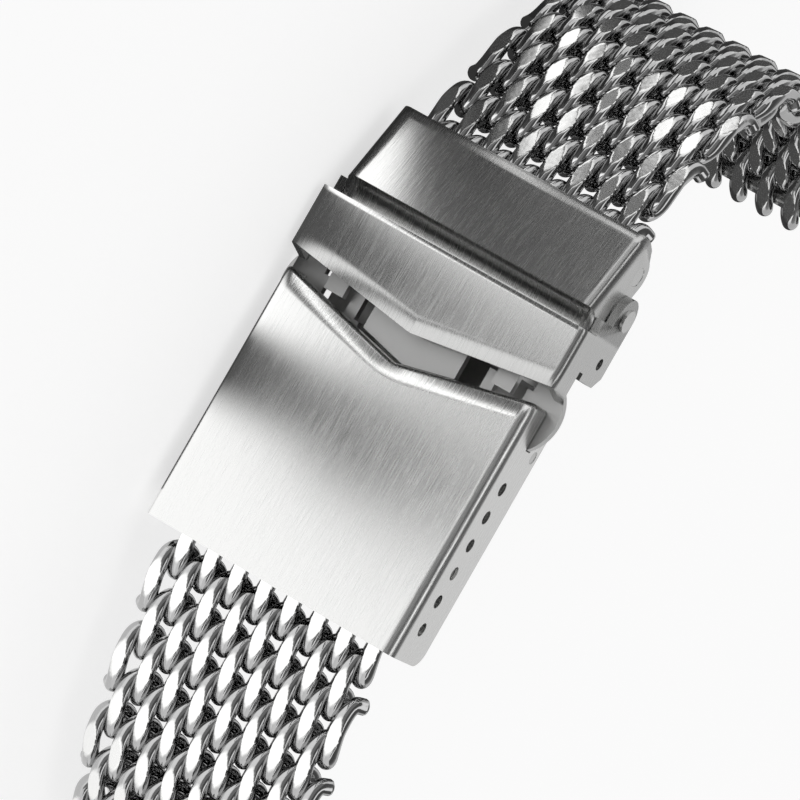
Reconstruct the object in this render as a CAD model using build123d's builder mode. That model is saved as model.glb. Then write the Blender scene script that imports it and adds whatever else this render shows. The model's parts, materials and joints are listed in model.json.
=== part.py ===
"""Woven steel watch bracelet with a folding clasp, lying on its side edge.

X runs along the clasp from strap A to strap B, Y points out of the clasp cover,
and Z is the width of the bracelet, upwards. The origin is under the middle of
the whole bracelet, at the height of its lowest point.
"""
from math import cos, hypot, pi, radians, sin

from build123d import *
import os

os.makedirs("parts", exist_ok=True)

# Woven straps
row_spacing = 3.6
weave_pitch = 2.6
wire_diameter = 1.15
weave_slack = 0.1
coil_half_depth = 1.5
crown_half_length = 0.85
shoulder_height = 1.1
run_lean = 0.1
crown_radius = 2.0
bend_radius = 1.2
ground_depth = 0.2
runs_per_row = 8

# Direction of each row, in degrees below the clasp, from the clasp outwards
strap_a_slopes = [0, 5, 12, 15.5, 17, 19, 24, 32, 42, 52.5, 63, 73.5, 84, 94.5, 105, 115.5]
strap_b_slopes = [26, 27, 31, 36, 43, 52, 62, 72.5, 83, 93.5, 104, 114.5, 125, 135.5]

# Clasp cover
cover_length = 22.5
cover_plate = 1.0
cover_wall = 0.8
cover_depth = 6.4
cover_edge_round = 1.0
cover_corner_round = 1.4
notch_depth = 2.7
notch_round = 1.2
notch_edge_round = 0.35
strap_side_gap = 0.2
strap_top_gap = 0.12
adjust_hole_count = 6
adjust_hole_spacing = 2.5
adjust_hole_first = 2.9
adjust_hole_in_use = 2
bar_hole_gap = 0.08

# Spring bars
bar_radius = 0.8
bar_seat_gap = 0.05
bar_bore_gap = 0.05
bar_end_gap = 0.1
adjust_tip_radius = 0.5
adjust_tip_reach = 11.75
lug_tip_radius = 0.4
lug_bar_half_length = 10.95
lug_tip_reach = 12.25
tip_shank_radius = 0.57
tip_shank_length = 3.2
spring_end_gap = 0.05

# Folding blades
hinge_setback = 3.8
cover_hinge_depth = 5.4
cover_pin_radius = 0.5
knuckle_radius = 1.0
knuckle_gap = 0.15
blade_thickness = 0.8
blade_half_width = 5.5
inner_blade_depth = 5.6
blade_hinge_start = 3.0
blade_hinge_depth = 6.8
blade_pin_radius = 0.45
middle_knuckle_half = 2.5
knuckle_side_gap = 0.2
outer_blade_depth = 7.2
outer_blade_wide_start = 17.0
outer_blade_wide_half = 10.4
end_knuckle_radius = 1.1
end_knuckle_half = 8.5
running_gap = 0.05
seat_gap = 0.03

# Catch bridge
bridge_depth = 1.9
bridge_plate = 0.8
bridge_end = 25.4
bridge_strip_start = 23.9
bridge_leg_start = 23.6
bridge_leg_thickness = 0.8
bridge_half_width = 9.0
bridge_tongue_half = 4.4
bridge_tongue_tip = 20.0
bridge_tongue_shoulder = 21.0
bridge_wing_inner = 7.2
bridge_wing_start = 22.2

# Push tabs
tab_start = 19.0
tab_chord = 5.6
tab_depth = 3.3
tab_thickness = 0.8
tab_reach = 1.15
tab_slot_gap = 0.1
tab_arm_width = 2.2
tab_arm_inner = 5.5
tab_body_inner = 9.6
tab_heel_inner = 10.1
tab_nose_end = 23.2
tab_nose_inner = 6.0
tab_nose_width = 1.0
tab_shoulder = 0.8
tab_shoulder_gap = 0.1
tab_spring_radius = 0.35

# Safety flap
flap_tip = 22.4
flap_corner = 24.2
flap_rear = 29.3
flap_height = 0.1
flap_plate = 0.8
flap_wall = 0.7
flap_edge_round = 0.7
flap_tip_round = 2.0
flap_side_gap = 0.1
flap_wing_front = 23.4
flap_wing_depth = 3.2
flap_step_start = 26.3
flap_step_depth = 4.0
flap_ear_start = 25.7
flap_ear_corner = 1.0
flap_ear_radius = 1.75
flap_shoulder_start = 30.6
flap_shoulder_depth = 2.4
flap_pin_start = 31.6
flap_pin_depth = 6.4
flap_pin_radius = 0.6
flap_pin_head_radius = 0.95
flap_pin_head = 0.25
flap_hole_start = 27.6
flap_hole_depth = 6.2
flap_hole_radius = 0.5

# End block
block_start = 29.4
block_height = -0.67
block_slope = 23
block_length = 9.34
block_plate = 0.9
block_roll = 1.8
block_lip = 0.8
block_wall = 0.65
block_edge_round = 0.7
block_pin_start = 35.0
block_pin_depth = 6.2
block_ear_radius = 1.55
block_skirt = 1.7

overrun = 1.0

# Sizes that follow
strap_thickness = 2 * coil_half_depth + wire_diameter - 2 * ground_depth
coil_reach = (row_spacing + wire_diameter + weave_slack) / 2
bend_advance = weave_pitch / 2 + run_lean
strap_half_width = ((runs_per_row - 1) * weave_pitch + weave_pitch / 2 + bend_advance
                    + wire_diameter) / 2
cover_inner_half = strap_half_width + strap_side_gap
cover_half_width = cover_inner_half + cover_wall
strap_depth = cover_plate + strap_top_gap + strap_thickness / 2
bar_offset = coil_reach - wire_diameter / 2 - bar_radius - bar_seat_gap
block_half_width = cover_inner_half + block_wall
flap_inner_half = block_half_width + flap_side_gap
flap_half_width = flap_inner_half + flap_wall

cover_hinge = (cover_length - hinge_setback, -cover_hinge_depth)
blade_hinge = (blade_hinge_start, -blade_hinge_depth)
flap_pivot = (flap_pin_start, -flap_pin_depth)
block_pivot = (block_pin_start, -block_pin_depth)
adjust_bar = (adjust_hole_first + adjust_hole_in_use * adjust_hole_spacing, -strap_depth)

finished = []


def finish(piece, name):
    """Label a finished piece and keep it for the placing at the end."""
    piece.part.label = name
    finished.append(piece)


def side_plate(low, high):
    """The plane and thickness of a plate that stands across the width, low to high."""
    return Plane.XY.offset(low), high - low


# Clasp cover: a channel over the strap end, with a V notch for the flap
with BuildPart() as clasp_cover:
    with BuildSketch(Plane.XY):
        Rectangle(cover_length, cover_depth, align=(Align.MIN, Align.MAX))
    extrude(amount=cover_half_width, both=True)
    fillet(clasp_cover.edges().filter_by(Axis.Z).group_by(Axis.Y)[0], cover_corner_round)
    fillet(clasp_cover.edges().filter_by(Axis.X).group_by(Axis.Y)[-1], cover_edge_round)
    with BuildSketch(Plane.XZ.offset(-overrun)):
        with BuildLine():
            Polyline(
                (cover_length + overrun, cover_half_width + overrun),
                (cover_length + overrun * notch_depth / cover_half_width,
                 cover_half_width + overrun),
                (cover_length - notch_depth, 0),
                (cover_length + overrun * notch_depth / cover_half_width,
                 -cover_half_width - overrun),
                (cover_length + overrun, -cover_half_width - overrun),
                close=True,
            )
        make_face()
        vertex = (cover_length - notch_depth, 0, 0)
        fillet(vertices().sort_by_distance(vertex)[0], notch_round)
    extrude(amount=cover_depth + 2 * overrun, mode=Mode.SUBTRACT)
    with BuildSketch(Plane.XY):
        with Locations((-overrun, -cover_plate)):
            Rectangle(
                cover_length + 2 * overrun, cover_depth + overrun, align=(Align.MIN, Align.MAX)
            )
    extrude(amount=cover_inner_half, both=True, mode=Mode.SUBTRACT)
    fillet(
        clasp_cover.edges()
        .filter_by_position(Axis.Y, -seat_gap, seat_gap)
        .filter_by_position(
            Axis.X, cover_length - notch_depth - notch_round, cover_length, (False, False)
        ),
        notch_edge_round,
    )
    with BuildSketch(Plane.XY):
        with Locations((tab_start - tab_slot_gap, tab_slot_gap - tab_depth)):
            Rectangle(
                cover_length - tab_start + overrun + tab_slot_gap,
                tab_thickness + 2 * tab_slot_gap,
                align=(Align.MIN, Align.MAX),
            )
        with Locations(cover_hinge):
            Circle(cover_pin_radius + seat_gap)
        for hole in range(adjust_hole_count):
            with Locations((adjust_hole_first + hole * adjust_hole_spacing, adjust_bar[1])):
                Circle(adjust_tip_radius + bar_hole_gap)
    extrude(amount=cover_half_width + overrun, both=True, mode=Mode.SUBTRACT)
finish(clasp_cover, "clasp_cover")

with BuildPart() as cover_hinge_pin:
    with BuildSketch(Plane.XY):
        with Locations(cover_hinge):
            Circle(cover_pin_radius)
    extrude(amount=cover_half_width - seat_gap, both=True)
finish(cover_hinge_pin, "cover_hinge_pin")

# Inner blade: folds under the cover, hinged to the cover and to the outer blade
blade_root = blade_hinge_start + knuckle_radius + knuckle_gap
with BuildPart() as inner_blade:
    with BuildSketch(Plane.XY):
        with Locations((blade_root, -inner_blade_depth)):
            Rectangle(
                cover_hinge[0] - blade_root, blade_thickness, align=(Align.MIN, Align.MAX)
            )
        with Locations(cover_hinge):
            Circle(knuckle_radius)
    extrude(amount=blade_half_width, both=True)
    with BuildSketch(Plane.XY):
        with Locations((blade_hinge_start, -inner_blade_depth)):
            Rectangle(
                knuckle_radius + 2 * knuckle_gap, blade_thickness, align=(Align.MIN, Align.MAX)
            )
        with Locations(blade_hinge):
            Circle(knuckle_radius)
    extrude(amount=middle_knuckle_half, both=True)
    with BuildSketch(Plane.XY):
        with Locations(cover_hinge):
            Circle(cover_pin_radius + running_gap)
        with Locations(blade_hinge):
            Circle(blade_pin_radius + running_gap)
    extrude(amount=blade_half_width + overrun, both=True, mode=Mode.SUBTRACT)
finish(inner_blade, "inner_blade")

with BuildPart() as blade_hinge_pin:
    with BuildSketch(Plane.XY):
        with Locations(blade_hinge):
            Circle(blade_pin_radius)
    extrude(amount=blade_half_width - seat_gap, both=True)
finish(blade_hinge_pin, "blade_hinge_pin")

# Outer blade: carries the catch bridge, and the flap and block on its end knuckle
with BuildPart() as outer_blade:
    with BuildSketch(Plane.XY):
        with Locations((blade_root, -outer_blade_depth)):
            Rectangle(
                flap_pin_start - blade_root, blade_thickness, align=(Align.MIN, Align.MAX)
            )
    extrude(amount=blade_half_width, both=True)
    with BuildSketch(Plane.XY):
        with Locations((outer_blade_wide_start, -outer_blade_depth)):
            Rectangle(
                flap_pin_start - outer_blade_wide_start,
                blade_thickness,
                align=(Align.MIN, Align.MAX),
            )
    extrude(amount=outer_blade_wide_half, both=True)
    with BuildSketch(Plane.XY):
        with Locations(flap_pivot):
            Circle(end_knuckle_radius)
    extrude(amount=end_knuckle_half, both=True)
    for low in (middle_knuckle_half + knuckle_side_gap, -blade_half_width):
        plane, thickness = side_plate(
            low, low + blade_half_width - middle_knuckle_half - knuckle_side_gap
        )
        with BuildSketch(plane):
            with Locations((blade_hinge_start, -outer_blade_depth)):
                Rectangle(
                    knuckle_radius + 2 * knuckle_gap,
                    blade_thickness,
                    align=(Align.MIN, Align.MAX),
                )
            with Locations(blade_hinge):
                Circle(knuckle_radius)
        extrude(amount=thickness)
    with BuildSketch(Plane.XY):
        with Locations(blade_hinge):
            Circle(blade_pin_radius + seat_gap)
        with Locations(flap_pivot):
            Circle(flap_pin_radius + seat_gap)
    extrude(amount=outer_blade_wide_half + overrun, both=True, mode=Mode.SUBTRACT)
finish(outer_blade, "outer_blade")

# Catch bridge: a comb-shaped plate on two legs, which the push tabs reach under
with BuildPart() as catch_bridge:
    with BuildSketch(Plane.XZ.offset(bridge_depth)):
        with Locations((bridge_strip_start, 0)):
            Rectangle(
                bridge_end - bridge_strip_start,
                2 * bridge_half_width,
                align=(Align.MIN, Align.CENTER),
            )
        with BuildLine():
            Polyline(
                (bridge_tongue_tip, 0),
                (bridge_tongue_shoulder, bridge_tongue_half),
                (bridge_strip_start, bridge_tongue_half),
                (bridge_strip_start, -bridge_tongue_half),
                (bridge_tongue_shoulder, -bridge_tongue_half),
                close=True,
            )
        make_face()
        for low in (bridge_wing_inner, -bridge_half_width):
            with Locations((bridge_wing_start, low)):
                Rectangle(
                    bridge_strip_start - bridge_wing_start,
                    bridge_half_width - bridge_wing_inner,
                    align=(Align.MIN, Align.MIN),
                )
    extrude(amount=bridge_plate)
    for low in (bridge_half_width - bridge_leg_thickness, -bridge_half_width):
        plane, thickness = side_plate(low, low + bridge_leg_thickness)
        with BuildSketch(plane):
            with Locations((bridge_leg_start, -bridge_depth)):
                Rectangle(
                    bridge_end - bridge_leg_start,
                    outer_blade_depth - bridge_depth,
                    align=(Align.MIN, Align.MAX),
                )
        extrude(amount=thickness)
finish(catch_bridge, "catch_bridge")

# Push tabs: flat plates with a half-moon outside and a nose inside
tab_end = tab_start + tab_chord
tab_tip_half = cover_half_width + tab_reach
for side, name in ((1, "push_tab_upper"), (-1, "push_tab_lower")):
    with BuildPart() as push_tab:
        with BuildSketch(Plane.XZ.offset(tab_depth)):
            with BuildLine():
                Polyline(
                    (tab_start, side * cover_half_width),
                    (tab_start, side * (cover_inner_half - tab_shoulder_gap)),
                    (tab_start - tab_shoulder, side * (cover_inner_half - tab_shoulder_gap)),
                    (tab_start - tab_shoulder, side * tab_body_inner),
                    (tab_start, side * tab_body_inner),
                    (tab_start, side * tab_arm_inner),
                    (tab_start + tab_arm_width, side * tab_arm_inner),
                    (tab_start + tab_arm_width, side * tab_nose_inner),
                    (tab_nose_end, side * tab_nose_inner),
                    (tab_nose_end, side * (tab_nose_inner + tab_nose_width)),
                    (tab_start + tab_arm_width, side * (tab_nose_inner + tab_nose_width)),
                    (tab_start + tab_arm_width, side * tab_body_inner),
                    (tab_nose_end, side * tab_body_inner),
                    (tab_nose_end, side * tab_heel_inner),
                    (tab_end, side * tab_heel_inner),
                    (tab_end, side * cover_half_width),
                )
                ThreePointArc(
                    (tab_end, side * cover_half_width),
                    (tab_start + tab_chord / 2, side * tab_tip_half),
                    (tab_start, side * cover_half_width),
                )
            make_face()
        extrude(amount=tab_thickness)
    finish(push_tab, name)

with BuildPart() as tab_spring:
    with BuildSketch(Plane.XY):
        with Locations(
            (tab_start + tab_spring_radius + spring_end_gap, -tab_depth - tab_thickness / 2)
        ):
            Circle(tab_spring_radius)
    extrude(amount=tab_arm_inner - spring_end_gap, both=True)
finish(tab_spring, "tab_spring")

# Safety flap: a V-shaped plate with a folded wing on each side that reaches the pin
with BuildPart() as safety_flap:
    with BuildSketch(Plane.XZ.offset(-flap_height)):
        with BuildLine():
            Polyline(
                (flap_rear, flap_half_width),
                (flap_corner, flap_half_width),
                (flap_tip, 0),
                (flap_corner, -flap_half_width),
                (flap_rear, -flap_half_width),
                close=True,
            )
        make_face()
        fillet(vertices().sort_by_distance((flap_tip, 0, 0))[0], flap_tip_round)
    extrude(amount=flap_plate)
    for low in (flap_inner_half, -flap_half_width):
        plane, thickness = side_plate(low, low + flap_wall)
        with BuildSketch(plane):
            with BuildLine():
                Polyline(
                    (flap_rear, flap_height),
                    (flap_corner, flap_height),
                    (flap_wing_front, -flap_wing_depth),
                    (flap_step_start, -flap_wing_depth),
                    (flap_step_start, -flap_step_depth),
                    (flap_ear_start, -flap_step_depth),
                    (flap_ear_start, -flap_pin_depth - flap_ear_radius + flap_ear_corner),
                    (flap_ear_start + flap_ear_corner, -flap_pin_depth - flap_ear_radius),
                    (flap_pin_start, -flap_pin_depth - flap_ear_radius),
                )
                ThreePointArc(
                    (flap_pin_start, -flap_pin_depth - flap_ear_radius),
                    (flap_pin_start + flap_ear_radius, -flap_pin_depth),
                    (flap_pin_start, -flap_pin_depth + flap_ear_radius),
                )
                Polyline(
                    (flap_pin_start, -flap_pin_depth + flap_ear_radius),
                    (flap_shoulder_start, -flap_pin_depth + flap_ear_radius),
                    (flap_shoulder_start, -flap_shoulder_depth),
                    (flap_rear, -flap_shoulder_depth),
                    (flap_rear, flap_height),
                )
            make_face()
            with Locations(flap_pivot):
                Circle(flap_pin_radius + running_gap, mode=Mode.SUBTRACT)
            with Locations((flap_hole_start, -flap_hole_depth)):
                Circle(flap_hole_radius, mode=Mode.SUBTRACT)
        extrude(amount=thickness)
    fillet(
        safety_flap.edges()
        .filter_by(Axis.X)
        .filter_by_position(Axis.Y, flap_height - seat_gap, flap_height + seat_gap),
        flap_edge_round,
    )
finish(safety_flap, "safety_flap")

with BuildPart() as flap_pin:
    with BuildSketch(Plane.XY):
        with Locations(flap_pivot):
            Circle(flap_pin_radius)
    extrude(amount=flap_half_width + seat_gap, both=True)
    for low in (flap_half_width + seat_gap, -flap_half_width - seat_gap - flap_pin_head):
        plane, thickness = side_plate(low, low + flap_pin_head)
        with BuildSketch(plane):
            with Locations(flap_pivot):
                Circle(flap_pin_head_radius)
        extrude(amount=thickness)
finish(flap_pin, "flap_pin")

# End block: a folded cover over the end of strap B, rolled over at the flap
block_plane = Plane(
    origin=(block_start, block_height, 0),
    x_dir=(cos(radians(block_slope)), -sin(radians(block_slope)), 0),
    z_dir=(0, 0, 1),
)


def on_block(point):
    """A clasp point in the end block's own plane."""
    local = block_plane.to_local_coords(Vector(point[0], point[1], 0))
    return local.X, local.Y


near_pin = on_block(flap_pivot)
far_pin = on_block(block_pivot)
with BuildPart() as end_block:
    with BuildSketch(block_plane):
        with BuildLine():
            Line((block_length, 0), (block_roll, 0))
            RadiusArc((block_roll, 0), (0, -block_roll), block_roll)
            Line((0, -block_roll), (0, -block_roll - block_lip))
            Line((0, -block_roll - block_lip), (block_plate, -block_roll - block_lip))
            Line((block_plate, -block_roll - block_lip), (block_plate, -block_roll))
            RadiusArc(
                (block_plate, -block_roll), (block_roll, -block_plate), -(block_roll - block_plate)
            )
            Line((block_roll, -block_plate), (block_length, -block_plate))
            Line((block_length, -block_plate), (block_length, 0))
        make_face()
    extrude(amount=block_half_width, both=True)
    for low in (cover_inner_half, -block_half_width):
        with BuildSketch(block_plane.offset(low)):
            with BuildLine():
                Line((block_length, 0), (block_roll, 0))
                RadiusArc((block_roll, 0), (0, -block_roll), block_roll)
                Line((0, -block_roll), (0, -block_roll - block_lip))
                Line((0, -block_roll - block_lip), (near_pin[0] - block_ear_radius, near_pin[1]))
                Line((near_pin[0] - block_ear_radius, near_pin[1]), near_pin)
                Line(near_pin, (far_pin[0], far_pin[1] - block_ear_radius))
                Line((far_pin[0], far_pin[1] - block_ear_radius),
                     (far_pin[0] + block_ear_radius, far_pin[1]))
                Line((far_pin[0] + block_ear_radius, far_pin[1]), (block_length, -block_skirt))
                Line((block_length, -block_skirt), (block_length, 0))
            make_face()
            with Locations(near_pin, far_pin):
                Circle(block_ear_radius)
            with Locations(near_pin):
                Circle(flap_pin_radius + running_gap, mode=Mode.SUBTRACT)
            with Locations(far_pin):
                Circle(bar_radius + seat_gap, mode=Mode.SUBTRACT)
        extrude(amount=block_wall)
    top_edges = end_block.edges().filter_by(
        lambda edge: abs(edge.center().Z) > cover_inner_half
        and abs(on_block((edge.center().X, edge.center().Y))[1]) < seat_gap
        and edge.length > block_roll
    )
    fillet(top_edges, block_edge_round)
finish(end_block, "end_block")

with BuildPart() as block_pin:
    with BuildSketch(Plane.XY):
        with Locations(block_pivot):
            Circle(bar_radius)
    extrude(amount=block_half_width - seat_gap, both=True)
finish(block_pin, "block_pin")

# One woven row: a flattened coil whose bends hook into those of the next row
run_rise = run_lean / 2
start_height = -bend_advance / 2 + run_rise
coil_points = [(-coil_reach, 0, start_height)]
coil_radii = []
for run in range(runs_per_row):
    height = run * weave_pitch
    coil_points += [
        (-coil_reach, shoulder_height, height + run_rise),
        (-crown_half_length, coil_half_depth, height + run_rise),
        (crown_half_length, coil_half_depth, height - run_rise),
        (coil_reach, shoulder_height, height - run_rise),
    ]
    coil_radii += [bend_radius, crown_radius, crown_radius, bend_radius]
    if run < runs_per_row - 1:
        back = height - run_rise + bend_advance
        coil_points += [
            (coil_reach, -shoulder_height, back),
            (crown_half_length, -coil_half_depth, back),
            (-crown_half_length, -coil_half_depth, back - run_lean),
            (-coil_reach, -shoulder_height, back - run_lean),
        ]
        coil_radii += [bend_radius, crown_radius, crown_radius, bend_radius]
last_height = (runs_per_row - 1) * weave_pitch - run_rise
coil_points.append((coil_reach, 0, last_height + bend_advance / 2))

with BuildPart() as coil:
    with BuildLine() as coil_line:
        FilletPolyline(*coil_points, radius=coil_radii)
    coil_wire = coil_line.wires()[0]
    with BuildSketch(Plane(origin=coil_wire @ 0, z_dir=coil_wire % 0)):
        Circle(wire_diameter / 2)
    sweep(path=coil_wire)
    split(bisect_by=Plane.XZ.offset(-strap_thickness / 2), keep=Keep.TOP)
    split(bisect_by=Plane.XZ.offset(strap_thickness / 2), keep=Keep.BOTTOM)
wire_volume = coil_wire.length * pi * wire_diameter ** 2 / 4
print(f"row wire length {coil_wire.length:.2f}, volume {coil.part.volume:.2f} of {wire_volume:.2f}")
print(f"gap between turns of a row {weave_pitch - wire_diameter:.2f}")

# Middle of the row's height when every second row stands half a pitch higher
row_middle = (start_height + last_height + bend_advance / 2 + weave_pitch / 2) / 2


def place_strap(letter, pin, slopes, outwards):
    """Make a strap's rows from its pin outwards, and return the last row's centre.

    outwards is -1 for strap A, which leaves the clasp towards -X, and 1 for strap B.
    """
    angle = radians(-outwards * slopes[0])
    x = pin[0] + outwards * bar_offset * cos(angle)
    y = pin[1] + outwards * bar_offset * sin(angle)
    for number, slope in enumerate(slopes, start=1):
        new_angle = radians(-outwards * slope)
        if number > 1:
            x += outwards * row_spacing / 2 * cos(angle)
            y += outwards * row_spacing / 2 * sin(angle)
            hinges.append((f"strap_{letter}_{number:02d}", x, y, slope - slopes[number - 2]))
            x += outwards * row_spacing / 2 * cos(new_angle)
            y += outwards * row_spacing / 2 * sin(new_angle)
        angle = new_angle
        height = (number % 2) * weave_pitch / 2 - row_middle
        with BuildPart() as strap_row:
            with Locations(Location((x, y, height), (0, 0, -outwards * slope))):
                add(coil.part)
        finish(strap_row, f"strap_{letter}_row_{number:02d}")
    x += outwards * bar_offset * cos(angle)
    y += outwards * bar_offset * sin(angle)
    return x, y


def make_spring_bar(name, centre, half_length, tip_radius, tip_reach):
    """A hollow barrel with a sprung tip at each end and the spring between them."""
    with BuildPart() as barrel:
        with BuildSketch(Plane.XY):
            with Locations(centre):
                Circle(bar_radius)
                Circle(tip_shank_radius + bar_bore_gap, mode=Mode.SUBTRACT)
        extrude(amount=half_length, both=True)
    finish(barrel, f"{name}_barrel")
    for side, end in ((1, "upper"), (-1, "lower")):
        with BuildPart() as tip:
            with BuildSketch(Plane.XY.offset(side * half_length)):
                with Locations(centre):
                    Circle(tip_radius)
            extrude(amount=side * (tip_reach - half_length))
            with BuildSketch(Plane.XY.offset(side * half_length)):
                with Locations(centre):
                    Circle(tip_shank_radius)
            extrude(amount=-side * tip_shank_length)
        finish(tip, f"{name}_tip_{end}")
    with BuildPart() as spring:
        with BuildSketch(Plane.XY):
            with Locations(centre):
                Circle(tip_shank_radius)
        extrude(amount=half_length - tip_shank_length - spring_end_gap, both=True)
    finish(spring, f"{name}_spring")


hinges = []
lug_a = place_strap("a", adjust_bar, strap_a_slopes, -1)
lug_b = place_strap("b", block_pivot, strap_b_slopes, 1)
make_spring_bar(
    "adjust_bar", adjust_bar, strap_half_width + bar_end_gap, adjust_tip_radius, adjust_tip_reach
)
make_spring_bar("lug_bar_a", lug_a, lug_bar_half_length, lug_tip_radius, lug_tip_reach)
make_spring_bar("lug_bar_b", lug_b, lug_bar_half_length, lug_tip_radius, lug_tip_reach)

# Put the origin under the middle of the whole, and write each piece
whole = Compound([piece.part for piece in finished]).bounding_box()
middle_x, middle_y, bottom = whole.center().X, whole.center().Y, whole.min.Z
for piece in finished:
    piece.part.move(Location((-middle_x, -middle_y, -bottom)))
    export_step(piece.part, f"parts/{piece.part.label}.step")

print(f"size {whole.size.X:.3f} {whole.size.Y:.3f} {whole.size.Z:.3f}")
print(f"middle of width at {-bottom:.4f}")
hinges += [
    ("cover_hinge", *cover_hinge, 0),
    ("blade_hinge", *blade_hinge, 0),
    ("flap_pivot", *flap_pivot, 0),
    ("block_pivot", *block_pivot, 0),
    ("adjust_bar", *adjust_bar, 0),
    ("lug_a", *lug_a, 0),
    ("lug_b", *lug_b, 0),
]
for name, x, y, turn in hinges:
    print(f"axis {name} {x - middle_x:.4f} {y - middle_y:.4f} {turn:.2f}")
print(f"distance between the lug bars {hypot(lug_a[0] - lug_b[0], lug_a[1] - lug_b[1]):.2f}")
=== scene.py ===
# %% [markdown]
# A woven steel watch bracelet with a folding clasp, dressed for a product photograph.
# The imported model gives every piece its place, its body and its hinge, so this script only adds
# what the eye sees: polished wire, brushed sheet steel, rounded edges, and a studio around them.

# %% Start
import bpy
import json
import numpy as np
from mathutils import Matrix


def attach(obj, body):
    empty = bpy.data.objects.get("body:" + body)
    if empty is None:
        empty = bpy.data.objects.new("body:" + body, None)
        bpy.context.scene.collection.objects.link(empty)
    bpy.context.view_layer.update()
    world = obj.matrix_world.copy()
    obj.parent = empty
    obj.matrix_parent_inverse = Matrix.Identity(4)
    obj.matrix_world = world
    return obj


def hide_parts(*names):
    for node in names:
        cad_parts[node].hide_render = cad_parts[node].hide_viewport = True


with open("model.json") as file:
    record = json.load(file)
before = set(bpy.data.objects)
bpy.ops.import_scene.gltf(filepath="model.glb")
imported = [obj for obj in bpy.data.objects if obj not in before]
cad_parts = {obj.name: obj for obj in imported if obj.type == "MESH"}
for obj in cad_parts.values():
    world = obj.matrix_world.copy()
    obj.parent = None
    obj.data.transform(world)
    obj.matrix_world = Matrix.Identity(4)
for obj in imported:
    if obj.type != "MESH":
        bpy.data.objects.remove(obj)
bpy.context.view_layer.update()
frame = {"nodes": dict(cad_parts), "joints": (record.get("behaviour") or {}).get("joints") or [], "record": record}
MM = 0.001

# %% [markdown]
# The clasp has its own handy axes: along the bracelet from the open end of the cover, outwards
# from the cover's face, and across the width. Every size of the clasp is easier to read in them,
# in millimetres. The record gives the hinge places, which tell where those axes start.

# %% Clasp axes
joints = {joint["name"]: joint for joint in frame["joints"]}
mounts = {mount["name"]: mount for mount in frame["record"]["mounts"]}
COVER_HINGE_ALONG, COVER_HINGE_DEPTH = 18.7, 5.4
hinge_place = np.array(joints["cover_hinge"]["pos_m"])
clasp_start = hinge_place - MM * np.array([COVER_HINGE_ALONG, -COVER_HINGE_DEPTH, 0])
MIDDLE = hinge_place[2]
print("clasp starts at", clasp_start.round(5))


def from_clasp(along, out, across):
    """Points in metres from arrays along, outwards and across the clasp in millimetres."""
    along, out, across = np.broadcast_arrays(along, out, across)
    return clasp_start + MM * np.stack([along, out, across], axis=-1)


# %% [markdown]
# The photographer looks almost square at the cover, tilted a little towards one side wall, and
# the camera is turned so that the bracelet runs from bottom left to top right. A long lens keeps
# the far strap nearly as large as the clasp, so the camera stands far away and looks narrow.

# %% Camera
CAMERA_TILT, CAMERA_TURN = np.radians(21.7), np.radians(60.2)
CAMERA_DISTANCE, CAMERA_LENS = 0.5, 290
CLIP_NEAR, CLIP_FAR = 0.01, 10
LOOK_ALONG, LOOK_OUT, LOOK_ACROSS = 17.5, 0.0, 2.1
along_axis = np.array([1.0, 0.0, 0.0])
camera_back = np.array([0.0, np.cos(CAMERA_TILT), np.sin(CAMERA_TILT)])
across_axis = np.cross(along_axis, camera_back)
right = np.cos(CAMERA_TURN) * along_axis + np.sin(CAMERA_TURN) * across_axis
up = np.sin(CAMERA_TURN) * along_axis - np.cos(CAMERA_TURN) * across_axis
place = from_clasp(LOOK_ALONG, LOOK_OUT, LOOK_ACROSS) + CAMERA_DISTANCE * camera_back
camera = bpy.data.objects.new("camera", bpy.data.cameras.new("camera"))
camera.data.lens = CAMERA_LENS
camera.data.clip_start, camera.data.clip_end = CLIP_NEAR, CLIP_FAR
columns = np.eye(4)
columns[:3, 0], columns[:3, 1], columns[:3, 2], columns[:3, 3] = right, up, camera_back, place
camera.matrix_world = Matrix(columns.tolist())
bpy.context.scene.collection.objects.link(camera)
bpy.context.scene.camera = camera
bpy.context.scene.view_settings.view_transform = "Standard"
print("camera at", place.round(4))

# %% [markdown]
# Steel has no colour of its own to speak of: it shows the room. A product photographer lights it
# with a white room and a few dark boards, because only the border between white and dark makes a
# polished edge readable. The world here is that white room. The Light Path node gives every ray
# that looks for a background full white, and the rest of the rays a plain soft light.

# %% White room
SEEN_BY = ("Is Camera Ray", "Is Glossy Ray", "Is Transmission Ray")
ROOM_LIGHT = 0.8


def link_light_path(tree, *outputs):
    """A socket that is 1 for every ray kind in outputs, and 0 for the others."""
    path = tree.nodes.new("ShaderNodeLightPath")
    socket = path.outputs[outputs[0]]
    for output in outputs[1:]:
        larger = tree.nodes.new("ShaderNodeMath")
        larger.operation = "MAXIMUM"
        tree.links.new(socket, larger.inputs[0])
        tree.links.new(path.outputs[output], larger.inputs[1])
        socket = larger.outputs[0]
    return socket


world = bpy.data.worlds.new("white_room")
world.use_nodes = True
bpy.context.scene.world = world
tree = world.node_tree
tree.nodes.clear()
plain = tree.nodes.new("ShaderNodeBackground")
plain.inputs["Strength"].default_value = ROOM_LIGHT
white = tree.nodes.new("ShaderNodeBackground")
white.inputs["Color"].default_value = (1, 1, 1, 1)
white.inputs["Strength"].default_value = 1
choice = tree.nodes.new("ShaderNodeMixShader")
room = tree.nodes.new("ShaderNodeOutputWorld")
tree.links.new(link_light_path(tree, *SEEN_BY), choice.inputs[0])
tree.links.new(plain.outputs[0], choice.inputs[1])
tree.links.new(white.outputs[0], choice.inputs[2])
tree.links.new(choice.outputs[0], room.inputs[0])
print("room light", ROOM_LIGHT)

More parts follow.
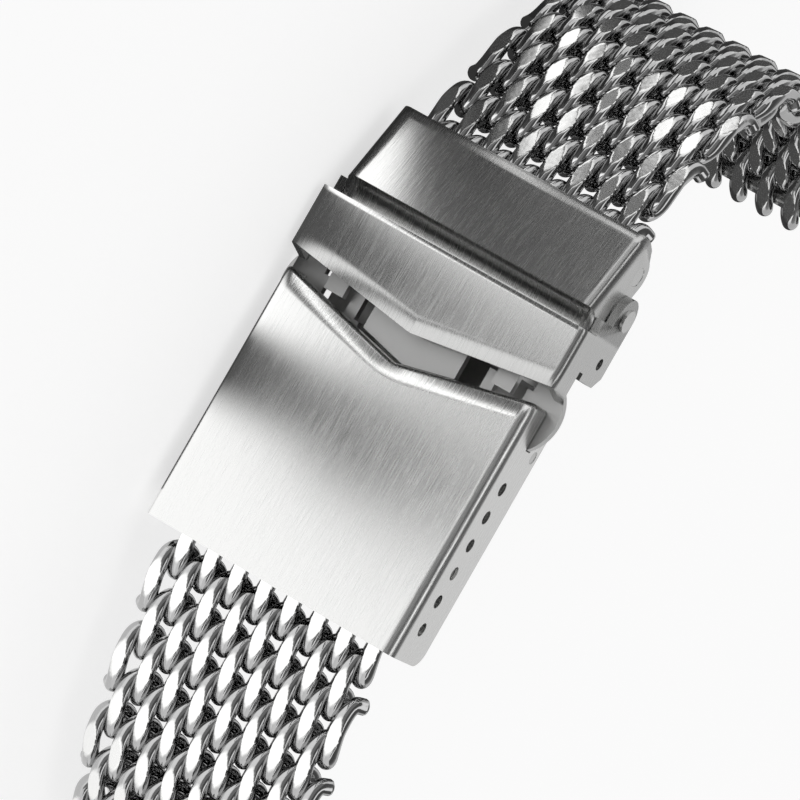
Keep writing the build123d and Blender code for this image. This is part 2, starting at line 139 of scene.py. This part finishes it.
# %% [markdown]
# Every new surface in this script is a grid of points worked out by numpy. One helper turns such
# a grid into a mesh: each face joins four neighbours, and a closed direction joins its last line
# of points to its first. The mesh gets its numbers in whole arrays, which is quick. Three-sided
# faces may follow the four-sided ones, to close the ends of a tube.

# %% Grid to mesh
PLAIN_SHARP_ANGLE = 30
NO_TRIANGLES = np.empty((0, 3), int)


def make_mesh(name, points, faces, triangles=NO_TRIANGLES, sharp_angle=PLAIN_SHARP_ANGLE):
    """A mesh from points (n, 3) in metres, faces (m, 4) and triangles (k, 3), smooth below an angle."""
    corners = np.concatenate([faces.ravel(), triangles.ravel()])
    starts = np.concatenate([np.arange(len(faces)) * 4, faces.size + np.arange(len(triangles)) * 3])
    mesh = bpy.data.meshes.new(name)
    mesh.vertices.add(len(points))
    mesh.vertices.foreach_set("co", points.astype(np.float32).ravel())
    mesh.loops.add(len(corners))
    mesh.loops.foreach_set("vertex_index", corners.astype(np.int32))
    mesh.polygons.add(len(starts))
    mesh.polygons.foreach_set("loop_start", starts.astype(np.int32))
    mesh.update(calc_edges=True)
    mesh.shade_smooth()
    mesh.set_sharp_from_angle(angle=np.radians(sharp_angle))
    made = bpy.data.objects.new(name, mesh)
    bpy.context.scene.collection.objects.link(made)
    return made


def grid_faces(rows, columns, close_columns=False):
    """Faces of a grid of rows by columns points; a closed grid joins its last column to its first."""
    row = np.arange(rows - 1)[:, None]
    column = np.arange(columns if close_columns else columns - 1)[None, :]
    after = (column + 1) % columns
    corners = [row * columns + column, row * columns + after,
               (row + 1) * columns + after, (row + 1) * columns + column]
    return np.stack(np.broadcast_arrays(*corners), axis=-1).reshape(-1, 4)


ONE_FACE = grid_faces(2, 2)
print("a sheet of four points has the face", ONE_FACE[0])

# %% [markdown]
# The floor is plain and pale. It is a diffuse sheet, so that it takes the soft shadow of the
# bracelet, and it glows a little for the rays that see it, so that it meets the white room
# without a visible horizon.

# %% Floor
FLOOR_HALF = 1.5
FLOOR_GREY, FLOOR_GLOW = 0.5, 0.64
corners = np.array([[-1, -1, 0], [1, -1, 0], [-1, 1, 0], [1, 1, 0]]) * FLOOR_HALF
floor = make_mesh("floor", corners, ONE_FACE)
paper = bpy.data.materials.new("pale_paper")
paper.use_nodes = True
tree = paper.node_tree
tree.nodes.clear()
sheet = tree.nodes.new("ShaderNodeBsdfDiffuse")
sheet.inputs["Color"].default_value = (FLOOR_GREY, FLOOR_GREY, FLOOR_GREY, 1)
glow = tree.nodes.new("ShaderNodeEmission")
glow_strength = tree.nodes.new("ShaderNodeMath")
glow_strength.operation = "MULTIPLY"
glow_strength.inputs[1].default_value = FLOOR_GLOW
both = tree.nodes.new("ShaderNodeAddShader")
output = tree.nodes.new("ShaderNodeOutputMaterial")
tree.links.new(link_light_path(tree, *SEEN_BY), glow_strength.inputs[0])
tree.links.new(glow_strength.outputs[0], glow.inputs["Strength"])
tree.links.new(sheet.outputs[0], both.inputs[0])
tree.links.new(glow.outputs[0], both.inputs[1])
tree.links.new(both.outputs[0], output.inputs["Surface"])
floor.data.materials.append(paper)
print("floor glow", FLOOR_GLOW)

# %% [markdown]
# In a photograph of such a bracelet, the bands of light and dark on the sheet steel are mirrored
# boards. A board here is one face with an Emission shader. Its light may fade along one axis: a
# Color Ramp holds the stops, and EASE rounds each change as a soft box does. Only reflections see
# a board: no camera ray and no shadow does.

# %% A board
HALF_WAY = 0.5


def light_ramp(tree, fade_axis, stops):
    """A colour socket that follows stops, pairs of a place on an object axis in metres and its light."""
    start, end = stops[0][0], stops[-1][0]
    place = tree.nodes.new("ShaderNodeTexCoord")
    split = tree.nodes.new("ShaderNodeSeparateXYZ")
    share = tree.nodes.new("ShaderNodeMapRange")
    share.inputs["From Min"].default_value = start
    share.inputs["From Max"].default_value = end
    ramp = tree.nodes.new("ShaderNodeValToRGB")
    ramp.color_ramp.interpolation = "EASE"
    while len(ramp.color_ramp.elements) < len(stops):
        ramp.color_ramp.elements.new(HALF_WAY)
    for element, (at, light) in zip(ramp.color_ramp.elements, stops):
        element.position = (at - start) / (end - start)
        element.color = (light, light, light, 1)
    tree.links.new(place.outputs["Object"], split.inputs[0])
    tree.links.new(split.outputs[fade_axis], share.inputs["Value"])
    tree.links.new(share.outputs[0], ramp.inputs[0])
    return ramp.outputs[0]


def make_board(name, points, light, fade_axis=None, stops=None):
    """A four-cornered board that only reflections see, of one light or with stops along an axis."""
    board = make_mesh(name, points, ONE_FACE)
    board.visible_camera = board.visible_shadow = board.visible_diffuse = False
    board.visible_transmission = False
    finish = bpy.data.materials.new(name)
    finish.use_nodes = True
    tree = finish.node_tree
    tree.nodes.clear()
    shine = tree.nodes.new("ShaderNodeEmission")
    shine.inputs["Color"].default_value = (light, light, light, 1)
    output = tree.nodes.new("ShaderNodeOutputMaterial")
    tree.links.new(shine.outputs[0], output.inputs["Surface"])
    if stops:
        tree.links.new(light_ramp(tree, fade_axis, stops), shine.inputs["Color"])
    board.data.materials.append(finish)
    return board


def level_board(name, x_range, y_range, height, light, fade_axis=None, stops=None):
    """A level board given by its ranges in metres."""
    x, y = np.meshgrid(x_range, y_range)
    points = np.stack([x.ravel(), y.ravel(), np.full(4, height)], axis=-1)
    return make_board(name, points, light, fade_axis, stops)


print("boards are seen by reflections alone")

# %% [markdown]
# The boards that make the picture lie flat beside the clasp, where its faces look when the camera
# looks at them. Their stops are places along the clasp in millimetres. The first dark stripe makes
# the band across the cover, the second darkens the flap and the wide one the end block, and the
# bright ones between them light the rolled edges. They come in two depths, because a stripe that
# lies farther from the clasp is seen higher up on it. A third board, close to the strap, gives
# the first rows of strap B their bright and dark tops.

# %% Boards under the clasp
BOARD_HEIGHT = 0.0004
FACE_NEAR, FACE_SPLIT, FACE_FAR = 0.0225, 0.048, 0.160
flap_and_block = ((23.5, 0.12), (29.0, 0.12), (31, 1.9), (39, 1.9), (43.5, 0.10), (104, 0.12), (118, 0.8))
cover_near = ((-60, 1.2), (8.5, 1.2), (12.5, 0.1), (15.5, 0.1), (17.8, 1.3), (20.5, 1.3))
cover_far = ((-60, 1.2), (6.5, 1.2), (10.5, 0.03), (16.2, 0.03), (18.5, 1.3), (21, 1.3))
side_stripes = ((50, 0.04), (58, 0.04), (63, 1.2), (70, 1.2), (75, 0.05), (84, 0.05), (90, 1.2), (112, 1.2))
SIDE_NEAR, SIDE_FAR = 0.004, 0.036


def striped_board(name, stops, y_range, height):
    """A level board over the whole reach of its stops, given in millimetres along the clasp."""
    placed = [(float(clasp_start[0]) + MM * along, light) for along, light in stops]
    return level_board(name, (placed[0][0], placed[-1][0]), y_range, height, 1.0, "X", placed)


striped_board("striped_board_near", cover_near + flap_and_block, (FACE_NEAR, FACE_SPLIT), BOARD_HEIGHT)
striped_board("striped_board_far", cover_far + flap_and_block, (FACE_SPLIT, FACE_FAR), BOARD_HEIGHT)
striped_board("side_light", side_stripes, (SIDE_NEAR, SIDE_FAR), 2 * BOARD_HEIGHT)
print("striped boards reach", FACE_FAR, "m out from the middle of the bracelet")

# %% [markdown]
# Round wire mirrors the whole room, so the gaps of the weave turn dark only if most of the room
# is dark. Two dark boards lie under the straps, a dark ceiling with one bright stripe hangs over
# them, and one upright board stands on each side. The stripe gives each wire its thin bright line.

# %% Boards around the straps
UNDER_GREY = 0.06
UNDER_BACK, UNDER_HALF, UNDER_SPLIT, UNDER_A_FRONT = -0.25, 0.16, -0.012, 0.0
CEILING_HEIGHT, CEILING_HALF, CEILING_BACK, CEILING_FRONT = 0.30, 0.6, -0.35, 0.40
BACK_BOARD, FRONT_BOARD = (-0.35, 0.0, 0.7), (0.52, 0.02, 0.25)
UPRIGHT_HALF, UPRIGHT_TOP = 0.6, 0.5
ceiling_stops = [(CEILING_BACK, 0.3), (-0.10, 0.1), (0.04, 0.1), (0.07, 1.3), (0.12, 1.3),
                 (0.15, 0.1), (0.34, 0.1), (CEILING_FRONT, 0.3)]


def upright_board(name, y, bottom, light):
    """An upright board across the room at one depth."""
    x, z = np.meshgrid([-UPRIGHT_HALF, UPRIGHT_HALF], [bottom, UPRIGHT_TOP])
    points = np.stack([x.ravel(), np.full(4, y), z.ravel()], axis=-1)
    return make_board(name, points, light)


level_board("under_board_b", (UNDER_SPLIT, UNDER_HALF), (UNDER_BACK, FACE_NEAR), BOARD_HEIGHT, UNDER_GREY)
level_board("under_board_a", (-UNDER_HALF, UNDER_SPLIT), (UNDER_BACK, UNDER_A_FRONT), BOARD_HEIGHT,
            UNDER_GREY)
level_board("ceiling_board", (-CEILING_HALF, CEILING_HALF), (CEILING_BACK, CEILING_FRONT),
            CEILING_HEIGHT, 1.0, "Y", ceiling_stops)
upright_board("back_board", *BACK_BOARD)
upright_board("front_board", *FRONT_BOARD)

# %% [markdown]
# All the steel here is one metallic Principled shader with other numbers. What tells drawn wire,
# brushed sheet and turned pins apart is how rough they are and how that changes over the surface,
# so four small helpers serve every finish: the shader, a noise, a range for it and a bump.

# %% Steel helpers
YELLOW_CAST = 0.99


def new_steel(name, base):
    """A metallic material of one grey; returns it, its node tree and its shader."""
    steel = bpy.data.materials.new(name)
    steel.use_nodes = True
    tree = steel.node_tree
    shader = tree.nodes["Principled BSDF"]
    shader.inputs["Metallic"].default_value = 1
    shader.inputs["Base Color"].default_value = (base, base, base * YELLOW_CAST, 1)
    return steel, tree, shader


def object_noise(tree, scale, detail, stretch=(1, 1, 1)):
    """A noise value on Object coordinates, stretched by a scale along each axis."""
    place = tree.nodes.new("ShaderNodeTexCoord")
    mapping = tree.nodes.new("ShaderNodeMapping")
    mapping.inputs["Scale"].default_value = stretch
    noise = tree.nodes.new("ShaderNodeTexNoise")
    noise.inputs["Scale"].default_value = scale
    noise.inputs["Detail"].default_value = detail
    tree.links.new(place.outputs["Object"], mapping.inputs["Vector"])
    tree.links.new(mapping.outputs["Vector"], noise.inputs["Vector"])
    return noise.outputs["Fac"]


def set_range(tree, value, low, high, socket):
    """Maps a value from 0 to 1 onto low to high and links it to a socket."""
    spread = tree.nodes.new("ShaderNodeMapRange")
    spread.inputs["To Min"].default_value = low
    spread.inputs["To Max"].default_value = high
    tree.links.new(value, spread.inputs["Value"])
    tree.links.new(spread.outputs[0], socket)


def add_bump(tree, shader, value, height, strength=1.0):
    """Raises the surface by a value times a height in metres."""
    bump = tree.nodes.new("ShaderNodeBump")
    bump.inputs["Strength"].default_value = strength
    bump.inputs["Distance"].default_value = height
    tree.links.new(value, bump.inputs["Height"])
    tree.links.new(bump.outputs["Normal"], shader.inputs["Normal"])


print("helpers for steel are ready")

# %% [markdown]
# Drawn wire is never quite even, so a low bump makes its reflections waver. Where the tops are
# ground flat, the steel is a little duller, and its colour is painted almost white: a painted
# highlight on the flat tops. Between them the wire is painted a darker grey than drawn steel has,
# painted shade round the tops, over a real but smaller change of finish. The mesh carries an
# attribute named ground, from 0 to 1, and the material mixes by it.

# %% Polished wire
DRAWN_GREY_AND_SHADE, DRAWN_ROUGHNESS = 0.5, 0.10
GROUND_TONE_AND_HIGHLIGHT, GROUND_ROUGHNESS = (0.97, 0.97, 0.96, 1), 0.18
WIRE_GRAIN, WIRE_DETAIL, WIRE_WAVER, WIRE_BUMP = 900, 2, 0.00003, 0.6
wire_steel, tree, shader = new_steel("polished_wire", DRAWN_GREY_AND_SHADE)
ground = tree.nodes.new("ShaderNodeAttribute")
ground.attribute_name = "ground"
set_range(tree, ground.outputs["Fac"], DRAWN_ROUGHNESS, GROUND_ROUGHNESS, shader.inputs["Roughness"])
# The mix paints the ground tops almost white and the rest of the wire dark: painted highlight and painted shade.
painted_light_mix = tree.nodes.new("ShaderNodeMix")
painted_light_mix.data_type = "RGBA"
painted_light_mix.inputs["A"].default_value = (DRAWN_GREY_AND_SHADE, DRAWN_GREY_AND_SHADE, DRAWN_GREY_AND_SHADE, 1)
painted_light_mix.inputs["B"].default_value = GROUND_TONE_AND_HIGHLIGHT
tree.links.new(ground.outputs["Fac"], painted_light_mix.inputs["Factor"])
tree.links.new(painted_light_mix.outputs["Result"], shader.inputs["Base Color"])
add_bump(tree, shader, object_noise(tree, WIRE_GRAIN, WIRE_DETAIL), WIRE_WAVER, WIRE_BUMP)
print("wire greys", DRAWN_GREY_AND_SHADE, GROUND_TONE_AND_HIGHLIGHT[0])

# %% [markdown]
# The stamped borders of the cover, the flap and the end block are rolled over softly, and that
# bright roll is what shows the sheet's thickness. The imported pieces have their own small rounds,
# and their meshes stay as they are, so the material bends the normal a little further: a bump
# whose height falls away near each border. Small Math nodes work out the distance to the border.

# %% Distance to a border
def math_node(tree, operation, *values):
    """A Math node of sockets and numbers; returns its output."""
    node = tree.nodes.new("ShaderNodeMath")
    node.operation = operation
    for socket, value in zip(node.inputs, values):
        if isinstance(value, (int, float)):
            socket.default_value = value
        else:
            tree.links.new(value, socket)
    return node.outputs[0]


def clasp_place(tree, axis):
    """A socket with the place on one object axis from the clasp's start, in millimetres."""
    start = {"X": clasp_start[0], "Y": clasp_start[1], "Z": MIDDLE}[axis]
    place = tree.nodes.new("ShaderNodeTexCoord")
    split = tree.nodes.new("ShaderNodeSeparateXYZ")
    tree.links.new(place.outputs["Object"], split.inputs[0])
    moved = math_node(tree, "SUBTRACT", split.outputs[axis], float(start))
    return math_node(tree, "MULTIPLY", moved, 1 / MM)


def rolled(tree, distance, width, drop):
    """Height in metres near a border: -drop (1 - distance / width) squared, and flat beyond width."""
    share = math_node(tree, "SUBTRACT", 1.0, math_node(tree, "DIVIDE", distance, width))
    share = math_node(tree, "MAXIMUM", share, 0.0)
    return math_node(tree, "MULTIPLY", math_node(tree, "MULTIPLY", share, share), -drop * MM)


print("borders are rolled in the normals")

# %% [markdown]
# Each sheet piece has its own borders, in the clasp's millimetres. The cover ends in a V that is
# rounded at its point. The flap follows that V and has a second, tighter roll at its far border.
# The end block leans down with the strap, so its far border is found along its slope.

# %% Rolled borders of the three sheets
COVER_LENGTH, NOTCH_DEPTH, COVER_HALF_WIDTH = 22.5, 2.7, 12.0
NOTCH_FLAT, NOTCH_ROUND = 0.9, 1.2
COVER_ROLL = 1.7, 0.75
FLAP_POINT, FLAP_LEAN, FLAP_HALF_WIDTH, FLAP_END = 22.4, 1.8, 12.7, 29.3
FLAP_ROLL, FLAP_END_ROLL = (1.6, 0.55), (0.4, 0.12)
BLOCK_HALF_WIDTH, BLOCK_REACH, BLOCK_SLOPE = 11.87, 9.34, np.radians(23)
BLOCK_START, BLOCK_DEPTH = 29.4, 0.67
BLOCK_ROLL, BLOCK_END_ROLL = (1.2, 0.5), (0.9, 0.35)


def cover_roll(tree):
    """The V edge: its place along the clasp grows with the distance from the middle."""
    across = math_node(tree, "ABSOLUTE", clasp_place(tree, "Z"))
    across = math_node(tree, "SMOOTH_MAX", across, NOTCH_FLAT, NOTCH_ROUND)
    edge = math_node(tree, "MULTIPLY_ADD", across, NOTCH_DEPTH / COVER_HALF_WIDTH,
                     COVER_LENGTH - NOTCH_DEPTH)
    return rolled(tree, math_node(tree, "SUBTRACT", edge, clasp_place(tree, "X")), *COVER_ROLL)


def flap_roll(tree):
    """Both long borders of the flap: the V edge and the straight one."""
    along = clasp_place(tree, "X")
    across = math_node(tree, "ABSOLUTE", clasp_place(tree, "Z"))
    edge = math_node(tree, "MULTIPLY_ADD", across, FLAP_LEAN / FLAP_HALF_WIDTH, FLAP_POINT)
    front = rolled(tree, math_node(tree, "SUBTRACT", along, edge), *FLAP_ROLL)
    back = rolled(tree, math_node(tree, "SUBTRACT", FLAP_END, along), *FLAP_END_ROLL)
    return math_node(tree, "ADD", front, back)


def block_roll(tree):
    """The side borders of the end block, and its far end: cos of the slope along, minus sin out."""
    across = math_node(tree, "ABSOLUTE", clasp_place(tree, "Z"))
    sides = rolled(tree, math_node(tree, "SUBTRACT", BLOCK_HALF_WIDTH, across), *BLOCK_ROLL)
    along = math_node(tree, "SUBTRACT", clasp_place(tree, "X"), BLOCK_START)
    out = math_node(tree, "ADD", clasp_place(tree, "Y"), BLOCK_DEPTH)
    reach = math_node(tree, "MULTIPLY", along, float(np.cos(BLOCK_SLOPE)))
    drop = math_node(tree, "MULTIPLY", out, float(np.sin(BLOCK_SLOPE)))
    far = math_node(tree, "SUBTRACT", BLOCK_REACH, math_node(tree, "SUBTRACT", reach, drop))
    return math_node(tree, "ADD", sides, rolled(tree, far, *BLOCK_END_ROLL))


print("rolls in mm", COVER_ROLL, FLAP_ROLL, BLOCK_ROLL)

# %% [markdown]
# Brushed steel is thousands of fine scratches that all run one way. A noise that is stretched
# along the bracelet gives them their place. It drives the roughness, which makes the streaks of
# light, and a bump of a few thousandths of a millimetre. An image texture could do this as well,
# but a noise on Object coordinates needs no UV map and has no seams.

# %% Brushed sheets
BRUSH_GRAIN, BRUSH_DETAIL, BRUSH_HEIGHT = 14000, 2, 0.000006
BRUSH_SMOOTH, BRUSH_ROUGH = 0.14, 0.36
BRUSH_ALONG, BRUSH_ON_SLOPE = (0.03, 1, 1), (0.03, 0.05, 1)
# The three sheets are one brushed steel in three greys: the cover is painted lighter and the flap and the end
# block darker, painted light and painted shade.
COVER_LIT_GREY, FLAP_SHADED_GREY, BLOCK_SHADED_GREY = 0.8, 0.58, 0.6


def brushed_sheet(name, base, roll_height, stretch=BRUSH_ALONG):
    """Sheet steel brushed along the bracelet; roll_height(tree) gives its borders' height in metres."""
    steel, tree, shader = new_steel(name, base)
    grain = object_noise(tree, BRUSH_GRAIN, BRUSH_DETAIL, stretch)
    set_range(tree, grain, BRUSH_SMOOTH, BRUSH_ROUGH, shader.inputs["Roughness"])
    height = math_node(tree, "MULTIPLY_ADD", grain, BRUSH_HEIGHT, roll_height(tree))
    add_bump(tree, shader, height, 1.0)
    return steel


cover_steel = brushed_sheet("cover_steel", COVER_LIT_GREY, cover_roll)
flap_steel = brushed_sheet("flap_steel", FLAP_SHADED_GREY, flap_roll)
block_steel = brushed_sheet("block_steel", BLOCK_SHADED_GREY, block_roll, BRUSH_ON_SLOPE)
print("brushed", [steel.name for steel in (cover_steel, flap_steel, block_steel)])

# %% [markdown]
# The tabs and the blades are satin: tumbled steel, rough alike in every direction. Pins and spring
# bars come off a lathe, so their finish is smoother and ringed, which a noise squeezed along
# their length gives.

# %% Satin and turned steel
SATIN_GREY, SATIN_GRAIN, SATIN_DETAIL = 0.55, 2500, 3
SATIN_PITS, PIT_DETAIL, PIT_DEPTH, PIT_STRENGTH = 5000, 2, 0.000006, 0.5
SATIN_SMOOTH, SATIN_ROUGH = 0.28, 0.42
TURNED_GREY, TURNED_GRAIN, TURNED_DETAIL, TURNED_RINGS = 0.62, 3000, 3, (1, 1, 6)
TURNED_SMOOTH, TURNED_ROUGH = 0.18, 0.32
satin_steel, tree, shader = new_steel("satin_steel", SATIN_GREY)
grain = object_noise(tree, SATIN_GRAIN, SATIN_DETAIL)
set_range(tree, grain, SATIN_SMOOTH, SATIN_ROUGH, shader.inputs["Roughness"])
add_bump(tree, shader, object_noise(tree, SATIN_PITS, PIT_DETAIL), PIT_DEPTH, PIT_STRENGTH)
turned_steel, tree, shader = new_steel("turned_steel", TURNED_GREY)
grain = object_noise(tree, TURNED_GRAIN, TURNED_DETAIL, TURNED_RINGS)
set_range(tree, grain, TURNED_SMOOTH, TURNED_ROUGH, shader.inputs["Roughness"])
print("steels", [made.name for made in bpy.data.materials if "steel" in made.name])

# %% [markdown]
# The weave is one flattened coil for each row, hooked into the coils before and after it. The
# centre line of a coil is a chain of corners: a lean run over the top, down the side, back under
# the strap a little higher up, and so on. A quadratic B-spline rounds the chain off. It touches
# the middle of every run and is drawn towards each corner, like wire bent round a mandrel.

# %% Centre line of a coil
ROW_SPACING, WEAVE_PITCH, WIRE, LEAN, RUNS = 3.6, 2.6, 1.15, 0.1, 8
CROWN_HALF, COIL_HALF_DEPTH, SHOULDER, GROUND_DEPTH = 0.5, 1.5, 0.8, 0.2
HIDDEN_REACH, REACH = 2.45, 2.7
STEPS = 8
ADVANCE = WEAVE_PITCH / 2 + LEAN
STRAP_HALF_THICKNESS = COIL_HALF_DEPTH + WIRE / 2 - GROUND_DEPTH


def coil_corners(reach):
    """Corners of one row's centre line: four over the top and four under it for each turn."""
    run = np.arange(RUNS)[:, None] * WEAVE_PITCH
    rise = LEAN / 2
    over = np.broadcast_to([[-reach, SHOULDER], [-CROWN_HALF, COIL_HALF_DEPTH],
                            [CROWN_HALF, COIL_HALF_DEPTH], [reach, SHOULDER]], (RUNS, 4, 2))
    lifts = np.concatenate([
        run + np.array([rise, rise, -rise, -rise]),
        run + ADVANCE + np.array([-rise, -rise, -rise - LEAN, -rise - LEAN])], axis=1)
    flat = np.concatenate([over, -over], axis=1)
    chain = np.concatenate([flat, lifts[..., None]], axis=2).reshape(-1, 3)[:-4]
    first = [[-reach, 0, rise - ADVANCE / 2]]
    last = [[reach, 0, (RUNS - 1) * WEAVE_PITCH - rise + ADVANCE / 2]]
    return np.concatenate([first, first, chain, last, last])


def spline(corners):
    """Quadratic B-spline: (1-t)^2/2 of the corner before, 1/2+t(1-t) of this one, t^2/2 of the next."""
    t = (np.arange(STEPS) / STEPS)[None, :, None]
    before, here, after = corners[:-2, None], corners[1:-1, None], corners[2:, None]
    curve = (1 - t) ** 2 / 2 * before + (0.5 + t * (1 - t)) * here + t ** 2 / 2 * after
    end = (corners[-2] + corners[-1]) / 2
    return np.concatenate([curve.reshape(-1, 3), end[None]])


wire_length = np.linalg.norm(np.diff(spline(coil_corners(REACH)), axis=0), axis=1).sum()
print(f"one row is {wire_length:.0f} mm of wire")

# %% [markdown]
# A tube is a circle carried along that line. Each ring needs two directions square to the wire.
# The first one points away from the coil's axis, nearly straight up over a whole crown, so that
# the lines of points run beside the border of the ground face. Grinding is then one clip: no
# point may stand further out than half the strap's thickness. The wire is drawn thicker than the
# packed one, which leaves its hinges room, so that the weave looks as dense as it is.

# %% Tube of one row
WIRE_SEEN, SIDES = 1.36, 36
FLAT_POWER = 5
END_RINGS, END_SHARE = np.radians([30, 60]), 0.5
GROUND_BORDER, GROUND_START_SHARE = 0.06, 0.6


def unit(vectors):
    """Vectors divided by their own lengths."""
    return vectors / np.linalg.norm(vectors, axis=-1, keepdims=True)


def ring_directions(centre_line, tangent, reach):
    """Two directions square to the wire: away from the coil's axis by a fifth power, and beside it."""
    scaled = centre_line[:, :2] / [reach, COIL_HALF_DEPTH]
    outward = np.sign(scaled) * np.abs(scaled) ** FLAT_POWER
    outward = np.column_stack([outward, np.zeros(len(outward))])
    first = unit(outward - (outward * tangent).sum(1, keepdims=True) * tangent)
    return first, np.cross(tangent, first)


def coil_tube(reach):
    """Points of one row's wire (rings, sides, 3) and how far each is ground, from 0 to 1.

    A ring is centre + radius (cos a first + sin a second); the end rings shrink like a dome.
    """
    centre_line = spline(coil_corners(reach))
    tangent = unit(np.gradient(centre_line, axis=0))
    first, second = ring_directions(centre_line, tangent, reach)
    count, dome = len(centre_line), len(END_RINGS)
    ring = np.concatenate([np.zeros(dome, int), np.arange(count), np.full(dome, count - 1)])
    size = np.concatenate([np.sin(END_RINGS), np.ones(count), np.sin(END_RINGS[::-1])])
    push = np.concatenate([-np.cos(END_RINGS), np.zeros(count), np.cos(END_RINGS[::-1])])
    centres = centre_line[ring] + WIRE_SEEN / 2 * END_SHARE * push[:, None] * tangent[ring]
    turn = np.arange(SIDES) / SIDES * 2 * np.pi
    circle = (np.cos(turn)[None, :, None] * first[ring][:, None]
              + np.sin(turn)[None, :, None] * second[ring][:, None])
    tube = centres[:, None] + WIRE_SEEN / 2 * size[:, None, None] * circle
    over = np.abs(tube[..., 1]) - STRAP_HALF_THICKNESS
    tube[..., 1] = np.clip(tube[..., 1], -STRAP_HALF_THICKNESS, STRAP_HALF_THICKNESS)
    return tube, np.clip(over / GROUND_BORDER + GROUND_START_SHARE, 0, 1)


tubes = {reach: coil_tube(reach) for reach in (HIDDEN_REACH, REACH)}
print("tube points", tubes[REACH][0].size // 3, "ground share", tubes[REACH][1].mean().round(2))

# %% [markdown]
# The tube becomes a closed mesh: a grid of faces that closes round the wire, and a fan of
# triangles from one point in the middle of each end. The fan's order is turned round at the first
# end, so that every face points outwards.

# %% Faces of a tube
def tube_faces(rings, sides):
    """Grid faces round a tube, and end fans from the two points that follow the grid's points."""
    side = np.arange(sides)
    after = (side + 1) % sides
    pole = np.full(sides, rings * sides)
    last = (rings - 1) * sides
    first_fan = np.stack([pole, after, side], axis=-1)
    last_fan = np.stack([pole + 1, last + side, last + after], axis=-1)
    return grid_faces(rings, sides, close_columns=True), np.concatenate([first_fan, last_fan])


row_faces, row_triangles = tube_faces(*tubes[REACH][0].shape[:2])
print("each row has", len(row_faces), "faces and", len(row_triangles), "end triangles")

# %% [markdown]
# Each row stands between two hinges of the record: the one that it shares with the row before and
# the one with the row after. Its centre is half way, and its direction is the line between them.
# Every second row stands half a pitch higher, so that its runs lie in the gaps of its neighbours.
# The first row of each strap reaches less far, because it hooks round a bar and not into a row.

# %% Weave both straps
ROW_LOW = -ADVANCE / 2 + LEAN / 2
ROW_HIGH = (RUNS - 1) * WEAVE_PITCH - LEAN / 2 + ADVANCE / 2 + WEAVE_PITCH / 2
ROW_MIDDLE = (ROW_LOW + ROW_HIGH) / 2
ROW_SHARP_ANGLE = 28


def strap_places(letter, pin):
    """Centre and direction of each row of a strap, from its pin to its lug bar, in metres."""
    hinges = [joints[name]["pos_m"] for name in sorted(joints)
              if name.startswith(f"strap_{letter}_flex_")]
    points = np.array([joints[pin]["pos_m"], *hinges, mounts[f"lug_tip_{letter}_upper"]["pos_m"]])
    step = unit(np.diff(points[:, :2], axis=0))
    half = MM * ROW_SPACING / 2
    centre = np.concatenate([points[1:2, :2] - half * step[:1], points[1:-1, :2] + half * step[1:]])
    return centre, step


def weave_row(name, centre, step, number, outwards):
    """The wire of one row: the coil's tube turned to the row's direction and set at its centre."""
    tube, tube_ground = tubes[HIDDEN_REACH if number == 1 else REACH]
    cos, sin = step * outwards
    lift = (number % 2) * WEAVE_PITCH / 2 - ROW_MIDDLE
    x, y, z = np.moveaxis(tube * MM, -1, 0)
    points = np.stack([x * cos - y * sin + centre[0], x * sin + y * cos + centre[1],
                       z + MIDDLE + MM * lift], axis=-1)
    poles = points[[0, -1]].mean(axis=1)
    row = make_mesh(name, np.concatenate([points.reshape(-1, 3), poles]), row_faces, row_triangles,
                    ROW_SHARP_ANGLE)
    marks = row.data.attributes.new("ground", "FLOAT", "POINT")
    marks.data.foreach_set("value", np.append(tube_ground.ravel(), [0, 0]).astype(np.float32))
    row.data.materials.append(wire_steel)
    return row


for letter, pin, outwards in (("a", "strap_a_pivot", -1), ("b", "strap_b_pivot", 1)):
    centres, steps = strap_places(letter, pin)
    for number, (centre, step) in enumerate(zip(centres, steps), start=1):
        node = f"strap_{letter}_row_{number:02d}"
        row = weave_row(f"{node}_wire", centre, step, number, outwards)
        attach(row, node)
        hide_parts(node)
    print("strap", letter, "has", number, "rows")

# %% [markdown]
# The pieces of the clasp, its pins and the spring bars have their right shape already, so they
# only take a finish, by the slot that the record gives them. The three large sheets have their
# own, because their rolled borders differ and because each is painted its own grey: the cover
# lighter, the flap and the end block darker, as painted light and painted shade.

# %% Finishes of the imported pieces
sheet_steels = {"clasp_cover": cover_steel, "safety_flap": flap_steel, "end_block": block_steel}
finishes = {"mesh_wire": wire_steel, "brushed_sheet": block_steel, "tab_steel": satin_steel,
            "blade_steel": satin_steel, "spring_steel": turned_steel, "pin_steel": turned_steel}
for part in frame["record"]["subparts"]:
    node = frame["nodes"][part["node"]]
    node.data.materials.clear()
    node.data.materials.append(sheet_steels.get(part["node"], finishes[part["material_slot"]]))
